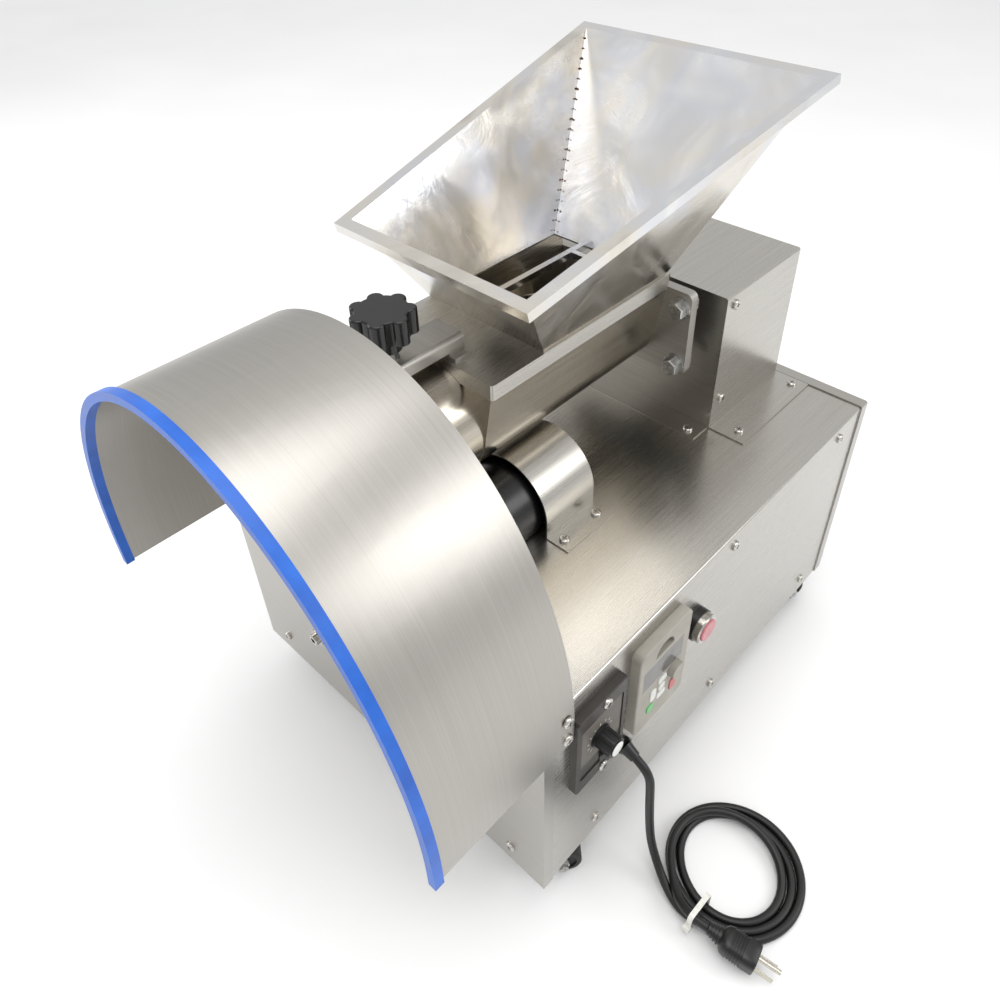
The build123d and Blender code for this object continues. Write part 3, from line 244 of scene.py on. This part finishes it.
plug_form = bmesh.new()
profile = [(0.0, 4.6, 4.6, 2.0), (0.6, 5.4, 5.4, 2.0)]
for k in range(4):
    z = 1.2 + 3.0 * k
    grow = 0.8 * k
    profile += [(z, 5.6 + grow, 5.5 + grow, 2.2), (z + 1.5, 5.8 + grow, 5.6 + grow, 2.2),
                (z + 1.7, 4.9 + grow, 4.8 + grow, 2.2), (z + 2.8, 5.1 + grow, 4.9 + grow, 2.2)]
profile += [(14.2, 9.5, 8.6, 2.6), (16.5, 11.6, 9.9, 3.2), (20.0, 12.4, 10.5, 3.6)]
for k in range(5):
    z = 22.0 + 2.6 * k
    profile += [(z, 12.4, 10.5, 3.8), (z + 0.3, 11.7, 9.9, 3.8), (z + 1.5, 11.7, 9.9, 3.8),
                (z + 1.8, 12.4, 10.5, 3.8)]
profile += [(36.0, 12.4, 10.6, 4.2), (45.6, 12.2, 10.5, 4.6), (46.6, 11.6, 10.0, 4.6),
            (47.0, 10.6, 9.2, 4.6)]
plug_rings = [rounded_ring(plug_form, w, h, z, square=q) for z, w, h, q in profile]
skinned(plug_form, plug_rings)
bmesh.ops.transform(plug_form, matrix=plug_frame, verts=plug_form.verts)
plug_vinyl = moulded("moulded_vinyl_plug", "060606", "101010", 0.34, 0.5, 0.2)
plug_piece = place_mesh(plug_form, "mains_plug", "machine", plug_vinyl)
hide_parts("plug_body")

nickel, tree, shader = new_finish("nickel_plated_brass")
place = add_node(tree, "ShaderNodeTexCoord").outputs["Object"]
rub = add_node(tree, "ShaderNodeTexNoise", {"Vector": place}, Scale=900.0, Detail=3.0)
tint = colour_ramp(tree, rub.outputs["Fac"], [(0.35, "b9b4a4"), (0.7, "dedad0")])
tree.links.new(tint.outputs["Color"], shader.inputs["Base Color"])
shader.inputs["Metallic"].default_value = 1.0
shader.inputs["Roughness"].default_value = 0.22
refinish(nickel, "plug_blades")

# ---- Cable tie ---------------------------------------------------------------------------------
# White nylon tie, pulled round the turns and the plug's end of the lead.
tie_nylon, tree, shader = new_finish("natural_nylon")
place = add_node(tree, "ShaderNodeTexCoord").outputs["Object"]
haze = add_node(tree, "ShaderNodeTexNoise", {"Vector": place}, Scale=220.0, Detail=3.0)
tint = colour_ramp(tree, haze.outputs["Fac"], [(0.3, "d9d8d0"), (0.75, "f1f0ea")])
tree.links.new(tint.outputs["Color"], shader.inputs["Base Color"])
shader.inputs["Roughness"].default_value = 0.35
shader.inputs["Subsurface Weight"].default_value = 0.15
shader.inputs["Subsurface Radius"].default_value = (0.002, 0.002, 0.0018)
refinish(tie_nylon, "cord_tie")

# ---- Studio ------------------------------------------------------------------------------------
# White sweep on the floor, a big soft light overhead and two at the sides, and a pale room that
# darkens towards the horizon, so that the steel has something to mirror.
floor_form = bmesh.new()
bmesh.ops.create_grid(floor_form, x_segments=1, y_segments=1, size=6.0)
floor_mesh = bpy.data.meshes.new("floor_sweep")
floor_form.to_mesh(floor_mesh)
floor_form.free()
floor_piece = bpy.data.objects.new("floor_sweep", floor_mesh)
bpy.context.scene.collection.objects.link(floor_piece)
floor_paper, tree, shader = new_finish("white_paper_sweep")
place = add_node(tree, "ShaderNodeTexCoord").outputs["Object"]
cloud = add_node(tree, "ShaderNodeTexNoise", {"Vector": place}, Scale=2.0, Detail=2.0)
tint = colour_ramp(tree, cloud.outputs["Fac"], [(0.3, "f4f4f4"), (0.7, "f8f8f8")])
tree.links.new(tint.outputs["Color"], shader.inputs["Base Color"])
shader.inputs["Roughness"].default_value = 0.9
shader.inputs["Specular IOR Level"].default_value = 0.1
floor_mesh.materials.append(floor_paper)

world = bpy.data.worlds.new("pale_room")
bpy.context.scene.world = world
world.use_nodes = True
tree = world.node_tree
tree.nodes.clear()
way = add_node(tree, "ShaderNodeTexCoord").outputs["Generated"]
split_way = add_node(tree, "ShaderNodeSeparateXYZ", {"Vector": way})
wall = add_node(tree, "ShaderNodeValToRGB", {"Fac": split_way.outputs["Z"]})
wall.color_ramp.elements[0].position = 0.0
wall.color_ramp.elements[0].color = (0.70, 0.70, 0.70, 1)
wall.color_ramp.elements[1].position = 0.75
wall.color_ramp.elements[1].color = (0.95, 0.95, 0.95, 1)
room = add_node(tree, "ShaderNodeBackground", {"Color": wall.outputs["Color"]}, Strength=0.95)
world_out = tree.nodes.new("ShaderNodeOutputWorld")
tree.links.new(room.outputs["Background"], world_out.inputs["Surface"])

for name, power, size, spot_at, aim in (
        ("light_above", 20.0, 1.6, (0.2, -0.2, 2.4), (0, 0, 0.3)),
        ("light_left", 16.0, 1.2, (-1.9, -0.9, 1.3), (0, 0, 0.4)),
        ("light_right", 12.0, 1.0, (1.7, 0.9, 1.4), (0, 0, 0.3))):
    lamp = bpy.data.lights.new(name, "AREA")
    lamp.energy = power
    lamp.size = size
    lamp_holder = bpy.data.objects.new(name, lamp)
    lamp_holder.location = spot_at
    lamp_holder.rotation_euler = (Vector(aim) - Vector(spot_at)).to_track_quat("-Z", "Y").to_euler()
    bpy.context.scene.collection.objects.link(lamp_holder)

bpy.context.scene.view_settings.view_transform = "Standard"

# ---- Cabinet, covers and drive housing -----------------------------------------------------------
# Folded 1.5 mm stainless sheet with a brushed face: the brush lines run one way on each piece, and
# handling leaves them a little cloudy.


def brushed(name, dark, light, roughness, along, streak=0.10, bump=0.14, cloud=0.06):
    """Brushed stainless: lines along one axis, drawn about 0.4 mm apart so that they show."""
    finish, tree, shader = new_finish(name)
    place = add_node(tree, "ShaderNodeTexCoord").outputs["Object"]
    stretch = [2600.0, 2600.0, 2600.0]
    for axis in along:
        stretch[axis] = 9.0
    lines_at = add_node(tree, "ShaderNodeMapping", {"Vector": place}, Scale=stretch)
    lines = add_node(tree, "ShaderNodeTexNoise", {"Vector": lines_at.outputs["Vector"]},
                     Scale=1.0, Detail=2.0)
    coarse_at = add_node(tree, "ShaderNodeMapping", {"Vector": place},
                         Scale=[s / 8 for s in stretch])
    coarse = add_node(tree, "ShaderNodeTexNoise", {"Vector": coarse_at.outputs["Vector"]},
                      Scale=1.0, Detail=3.0)
    smears = add_node(tree, "ShaderNodeTexNoise", {"Vector": place}, Scale=7.0, Detail=3.0)
    mixed = add_node(tree, "ShaderNodeMix", {"A": lines.outputs["Fac"], "B": coarse.outputs["Fac"]},
                     Factor=0.2)
    tint = colour_ramp(tree, mixed.outputs["Result"], [(0.3, dark), (0.7, light)])
    gloss_lines = add_node(tree, "ShaderNodeMapRange", {"Value": mixed.outputs["Result"]})
    gloss_lines.inputs["From Min"].default_value = 0.3
    gloss_lines.inputs["From Max"].default_value = 0.7
    gloss_lines.inputs["To Min"].default_value = roughness - streak / 2
    gloss_lines.inputs["To Max"].default_value = roughness + streak / 2
    gloss_smear = add_node(tree, "ShaderNodeMapRange", {"Value": smears.outputs["Fac"]})
    gloss_smear.inputs["To Min"].default_value = -cloud
    gloss_smear.inputs["To Max"].default_value = cloud
    gloss = add_node(tree, "ShaderNodeMath", operation="ADD")
    tree.links.new(gloss_lines.outputs["Result"], gloss.inputs[0])
    tree.links.new(gloss_smear.outputs["Result"], gloss.inputs[1])
    relief = add_node(tree, "ShaderNodeBump", {"Height": mixed.outputs["Result"]},
                      Strength=bump, Distance=0.00012)
    tree.links.new(tint.outputs["Color"], shader.inputs["Base Color"])
    tree.links.new(gloss.outputs["Value"], shader.inputs["Roughness"])
    tree.links.new(relief.outputs["Normal"], shader.inputs["Normal"])
    shader.inputs["Metallic"].default_value = 1.0
    return finish


lengthwise_steel = brushed("stainless_brushed_lengthwise", "b0ada7", "c0bdb7", 0.28, (1,),
                           streak=0.07, bump=0.09)
refinish(lengthwise_steel, "base_shell", "hopper_lid", "drive_hood", "cutter_motor_cover")
upright_steel = brushed("stainless_brushed_across", "aca9a3", "b9b6b1", 0.31, (0,),
                        streak=0.06, bump=0.07)
refinish(upright_steel, "front_cover", "back_cover", "bottom_plate", "drive_front_plate")

# ---- Guard -------------------------------------------------------------------------------------
# One sheet rolled to a half-round over the cutter, brushed round the bend, with a pushed-on blue
# plastic edge at the front.
guard_steel = brushed("stainless_brushed_round_the_bend", "a8a59f", "b5b2ad", 0.36, (0, 2),
                      streak=0.06, bump=0.08)
refinish(guard_steel, "guard")
blue_edge = moulded("blue_vinyl_edging", "0f55b4", "1a66cc", 0.38, 0.6, 0.12)
refinish(blue_edge, "guard_trim")

# ---- Trough, neck and flange -------------------------------------------------------------------
# Rolled and welded stainless, ground after welding; the flange is laser cut plate.
ground_steel = brushed("stainless_ground", "a49d90", "bdb6aa", 0.22, (1,), streak=0.12, cloud=0.1)
refinish(ground_steel, "trough", "nozzle_neck")
plate_steel = brushed("stainless_plate", "a3a09a", "bdbab4", 0.42, (0,), streak=0.10)
refinish(plate_steel, "trough_flange", "clamp_tab", "cutter_blade")
screw_steel = brushed("stainless_turned_screw", "9b978f", "bcb8b0", 0.26, (0, 2), streak=0.16)
refinish(screw_steel, "auger")

# ---- Hopper ------------------------------------------------------------------------------------
# Four sloping walls of bright polished sheet, stitch welded along the corners and folded out to a
# flat rim. The polish swirls, so the mirror image is cloudy.
hopper_polish, tree, shader = new_finish("stainless_hand_polished")
place = add_node(tree, "ShaderNodeTexCoord").outputs["Object"]
drift = add_node(tree, "ShaderNodeTexNoise", {"Vector": place}, Scale=5.0, Detail=3.0,
                 Distortion=2.2)
swirl = add_node(tree, "ShaderNodeTexNoise", {"Vector": place}, Scale=14.0, Detail=5.0,
                 Distortion=1.6)
fine_at = add_node(tree, "ShaderNodeMapping", {"Vector": place}, Scale=(1400.0, 1400.0, 30.0))
fine = add_node(tree, "ShaderNodeTexNoise", {"Vector": fine_at.outputs["Vector"]}, Scale=1.0,
                Detail=2.0)
tint = colour_ramp(tree, drift.outputs["Fac"],
                   [(0.3, "bab7b1"), (0.45, "d8d3ca"), (0.6, "d2d3d7"), (0.75, "e6e4df")])
gloss = add_node(tree, "ShaderNodeMapRange", {"Value": swirl.outputs["Fac"]})
gloss.inputs["From Min"].default_value = 0.3
gloss.inputs["From Max"].default_value = 0.7
gloss.inputs["To Min"].default_value = 0.12
gloss.inputs["To Max"].default_value = 0.30
waves = add_node(tree, "ShaderNodeBump", {"Height": swirl.outputs["Fac"]}, Strength=0.35,
                 Distance=0.0016)
scratches = add_node(tree, "ShaderNodeBump", {"Height": fine.outputs["Fac"],
                                              "Normal": waves.outputs["Normal"]},
                     Strength=0.2, Distance=0.0001)
tree.links.new(tint.outputs["Color"], shader.inputs["Base Color"])
tree.links.new(gloss.outputs["Result"], shader.inputs["Roughness"])
tree.links.new(scratches.outputs["Normal"], shader.inputs["Normal"])
shader.inputs["Metallic"].default_value = 1.0
refinish(hopper_polish, "hopper")

# stitch welds up the two back corners and the two front ones, every 10 mm
weld_tint, tree, shader = new_finish("heat_tinted_weld")
place = add_node(tree, "ShaderNodeTexCoord").outputs["Object"]
scale_bloom = add_node(tree, "ShaderNodeTexNoise", {"Vector": place}, Scale=420.0, Detail=4.0)
tint = colour_ramp(tree, scale_bloom.outputs["Fac"],
                   [(0.3, "2e2620"), (0.55, "6b5138"), (0.8, "4d5468")])
relief = add_node(tree, "ShaderNodeBump", {"Height": scale_bloom.outputs["Fac"]}, Strength=0.6,
                  Distance=0.0004)
tree.links.new(tint.outputs["Color"], shader.inputs["Base Color"])
tree.links.new(relief.outputs["Normal"], shader.inputs["Normal"])
shader.inputs["Metallic"].default_value = 1.0
shader.inputs["Roughness"].default_value = 0.45

lid_top = 482.6
foot_half, foot_front, foot_back, wall = 65.7, 163.5, 327.1, 2.0
weld_pitch = 0.0100
weld_form = bmesh.new()
for side in (-1, 1):
    for low_y, slope, climb in ((foot_front + wall, -0.64, 76.0), (foot_back - wall, 0.727, 150.0)):
        low = placed(side * (foot_half - wall), low_y, lid_top + 4)
        high = placed(side * (foot_half - wall + 0.38 * climb), low_y + slope * climb,
                      lid_top + climb)
        span = (high - low).length
        inward = Vector((-side, 1 if slope < 0 else -1, 0)) * 0.0006
        dots = int(span / weld_pitch)
        for k in range(dots + 1):
            at = low.lerp(high, k / dots) + inward
            bmesh.ops.create_icosphere(weld_form, subdivisions=1, radius=0.0008 + 0.0002 * (k % 3),
                                       matrix=Matrix.Translation(at))
welds = place_mesh(weld_form, "hopper_stitch_welds", "hopper", weld_tint)

# ---- Clamp at the front of the lid ---------------------------------------------------------------
# Star knob of black phenolic on a plated stud; its top is glossy from the mould.
phenolic = moulded("black_phenolic", "070707", "101010", 0.16, 1.2, 0.08, spread=0.1)
refinish(phenolic, "clamp_knob")
zinc, tree, shader = new_finish("bright_zinc_plate")
place = add_node(tree, "ShaderNodeTexCoord").outputs["Object"]
spangle = add_node(tree, "ShaderNodeTexVoronoi", {"Vector": place}, Scale=700.0)
dust = add_node(tree, "ShaderNodeTexNoise", {"Vector": place}, Scale=160.0, Detail=4.0)
tint = colour_ramp(tree, dust.outputs["Fac"], [(0.3, "a6a6a4"), (0.7, "d2d2d0")])
gloss = add_node(tree, "ShaderNodeMapRange", {"Value": spangle.outputs["Distance"]})
gloss.inputs["To Min"].default_value = 0.22
gloss.inputs["To Max"].default_value = 0.38
tree.links.new(tint.outputs["Color"], shader.inputs["Base Color"])
tree.links.new(gloss.outputs["Result"], shader.inputs["Roughness"])
shader.inputs["Metallic"].default_value = 1.0
refinish(zinc, "clamp_stud", "flange_bolts", "caster_plates")

# ---- Screws and bolts --------------------------------------------------------------------------
# Cold-headed stainless pan screws with a cross recess, the bolts that go with them, the cutter
# shaft and the bezel of the push button.
bright_screw, tree, shader = new_finish("stainless_cold_headed")
place = add_node(tree, "ShaderNodeTexCoord").outputs["Object"]
marks = add_node(tree, "ShaderNodeTexNoise", {"Vector": place}, Scale=650.0, Detail=3.0)
tint = colour_ramp(tree, marks.outputs["Fac"], [(0.3, "a9a5a0"), (0.7, "d8d5cf")])
relief = add_node(tree, "ShaderNodeBump", {"Height": marks.outputs["Fac"]}, Strength=0.2,
                  Distance=0.0002)
tree.links.new(tint.outputs["Color"], shader.inputs["Base Color"])
tree.links.new(relief.outputs["Normal"], shader.inputs["Normal"])
shader.inputs["Metallic"].default_value = 1.0
shader.inputs["Roughness"].default_value = 0.2
refinish(bright_screw, "panel_screws", "front_bolt", "cutter_bolts", "cutter_shaft",
         "button_bezel")

# ---- Cutter drive ------------------------------------------------------------------------------
# Geared motor in black enamel with a turned shaft, and a white acetal bearing block at the front.
enamel = moulded("black_motor_enamel", "090909", "131314", 0.28, 1.0, 0.18)
refinish(enamel, "cutter_motor", "drive_motor")
acetal = moulded("white_acetal", "cfcec8", "e2e1db", 0.45, 0.8, 0.1)
refinish(acetal, "cutter_bearing")
cast_case = moulded("sand_cast_aluminium", "8b8c8c", "a5a6a6", 0.5, 0.7, 0.5)
refinish(cast_case, "gear_reducer")

# ---- Swivel casters ----------------------------------------------------------------------------
# Pressed zinc-plated forks and solid dark rubber wheels.
refinish(zinc, *["caster_fork_" + c for c in ("front_right", "front_left", "back_right",
                                               "back_left")])
tread = moulded("caster_rubber", "161616", "272727", 0.62, 0.8, 0.45)
refinish(tread, *["caster_wheel_" + c for c in ("front_right", "front_left", "back_right",
                                                 "back_left")])

# ---- Speed control -----------------------------------------------------------------------------
# Dark moulded plate with a grey-brown printed face, a ribbed knob with a white cap and a rocker.
# The same black plastic makes the cable gland and the collar of the push button.
plate_plastic = moulded("charcoal_abs", "292521", "35302b", 0.42, 0.7, 0.3)
refinish(plate_plastic, "speed_plate")
knob_plastic = moulded("black_abs_knob", "0e0e0e", "1c1c1c", 0.34, 0.6, 0.15)
refinish(knob_plastic, "speed_knob", "rocker", "cable_gland", "button_collar")


def disc_at(form, radius, centre, depth, sides=48, bevel=0.0003):
    """Round plate that faces the control side, with a softened edge."""
    facing = Matrix.Translation(centre) @ Matrix.Rotation(pi / 2, 4, "Y")
    made = bmesh.ops.create_cone(form, cap_ends=True, segments=sides, radius1=radius,
                                 radius2=radius, depth=depth, matrix=facing)
    rims = {e for v in made["verts"] for e in v.link_edges
            if any(len(f.verts) > 4 for f in e.link_faces)}
    bmesh.ops.bevel(form, geom=list(rims), offset=bevel, affect="EDGES", segments=2, profile=0.5,
                    material=-1)


label_x = 216.8                     # printed face, in millimetres from the cabinet's axis
dial_y, dial_z = 61.0, 233.0        # centre of the knob
knob_reach = 18.1                   # from the printed face to the knob's flat end
tick_ring = 14.6                    # radius of the ring of ticks
cap_form = bmesh.new()
disc_at(cap_form, 0.0068, placed(label_x + knob_reach + 0.25, dial_y, dial_z), 0.0008)
white_abs = moulded("white_abs_cap", "dcdbd6", "eeede9", 0.4, 0.6, 0.08)
cap_piece = place_mesh(cap_form, "speed_knob_cap", "speed_dial", white_abs)

# grey printed field with a ring of plain ticks round the knob
field_form = bmesh.new()
field_low, field_high = placed(label_x, 37.5, 210.0), placed(label_x + 0.15, 88.5, 262.4)
bmesh.ops.create_cube(field_form, size=1.0, matrix=Matrix.Translation((field_low + field_high) / 2)
                      @ Matrix.Diagonal((*(field_high - field_low), 1.0)))
bmesh.ops.bevel(field_form, geom=[e for e in field_form.edges], offset=0.00006, affect="EDGES",
                segments=1, profile=0.5, material=-1)
printed_grey = moulded("grey_printed_film", "5c5751", "6c6760", 0.5, 0.5, 0.12)
field_piece = place_mesh(field_form, "speed_plate_film", "machine", printed_grey, smooth=False)
tick_form = bmesh.new()
for k in range(11):
    angle = radians(225 - 27 * k)
    centre = placed(label_x + 0.2, dial_y + tick_ring * cos(angle),
                    dial_z + tick_ring * sin(angle))
    bmesh.ops.create_cube(tick_form, size=1.0, matrix=Matrix.Translation(centre)
                          @ Matrix.Rotation(angle, 4, "X")
                          @ Matrix.Diagonal((0.0002, 0.0034 if k % 5 == 0 else 0.0022, 0.0007, 1)))
ink = moulded("white_ink", "d4d4d2", "e6e6e4", 0.5, 0.4, 0.05)
ticks = place_mesh(tick_form, "speed_plate_ticks", "machine", ink, smooth=False)

# ---- Keypad ------------------------------------------------------------------------------------
# Warm grey moulded case and dial, a grey display window and soft rubber keys.
case_plastic = moulded("warm_grey_abs", "918d84", "a39f95", 0.46, 0.7, 0.22)
refinish(case_plastic, "keypad_case", "keypad_dial")
window_glass, tree, shader = new_finish("smoked_acrylic")
place = add_node(tree, "ShaderNodeTexCoord").outputs["Object"]
smudge = add_node(tree, "ShaderNodeTexNoise", {"Vector": place}, Scale=90.0, Detail=3.0)
tint = colour_ramp(tree, smudge.outputs["Fac"], [(0.3, "5a5856"), (0.7, "6c6a68")])
gloss = add_node(tree, "ShaderNodeMapRange", {"Value": smudge.outputs["Fac"]})
gloss.inputs["To Min"].default_value = 0.05
gloss.inputs["To Max"].default_value = 0.2
tree.links.new(tint.outputs["Color"], shader.inputs["Base Color"])
tree.links.new(gloss.outputs["Result"], shader.inputs["Roughness"])
refinish(window_glass, "keypad_window")
key_rubber = moulded("white_silicone_key", "c9c9c5", "dededa", 0.5, 0.5, 0.15)
refinish(key_rubber, "key_up", "key_enter", "key_down", "key_left")
run_rubber = moulded("green_silicone_key", "5ca866", "74bc7c", 0.48, 0.5, 0.15)
refinish(run_rubber, "key_run")
stop_rubber = moulded("red_silicone_key", "b45e60", "c87a7a", 0.48, 0.5, 0.15)
refinish(stop_rubber, "key_stop")

# ---- Push button -------------------------------------------------------------------------------
# Dull red translucent cap; its bezel has the finish of the screws.
red_lens, tree, shader = new_finish("translucent_red_acrylic")
place = add_node(tree, "ShaderNodeTexCoord").outputs["Object"]
haze = add_node(tree, "ShaderNodeTexNoise", {"Vector": place}, Scale=240.0, Detail=3.0)
tint = colour_ramp(tree, haze.outputs["Fac"], [(0.3, "b0636a"), (0.7, "c87f84")])
tree.links.new(tint.outputs["Color"], shader.inputs["Base Color"])
shader.inputs["Roughness"].default_value = 0.24
shader.inputs["Subsurface Weight"].default_value = 0.2
shader.inputs["Subsurface Radius"].default_value = (0.003, 0.001, 0.001)
refinish(red_lens, "button_cap")
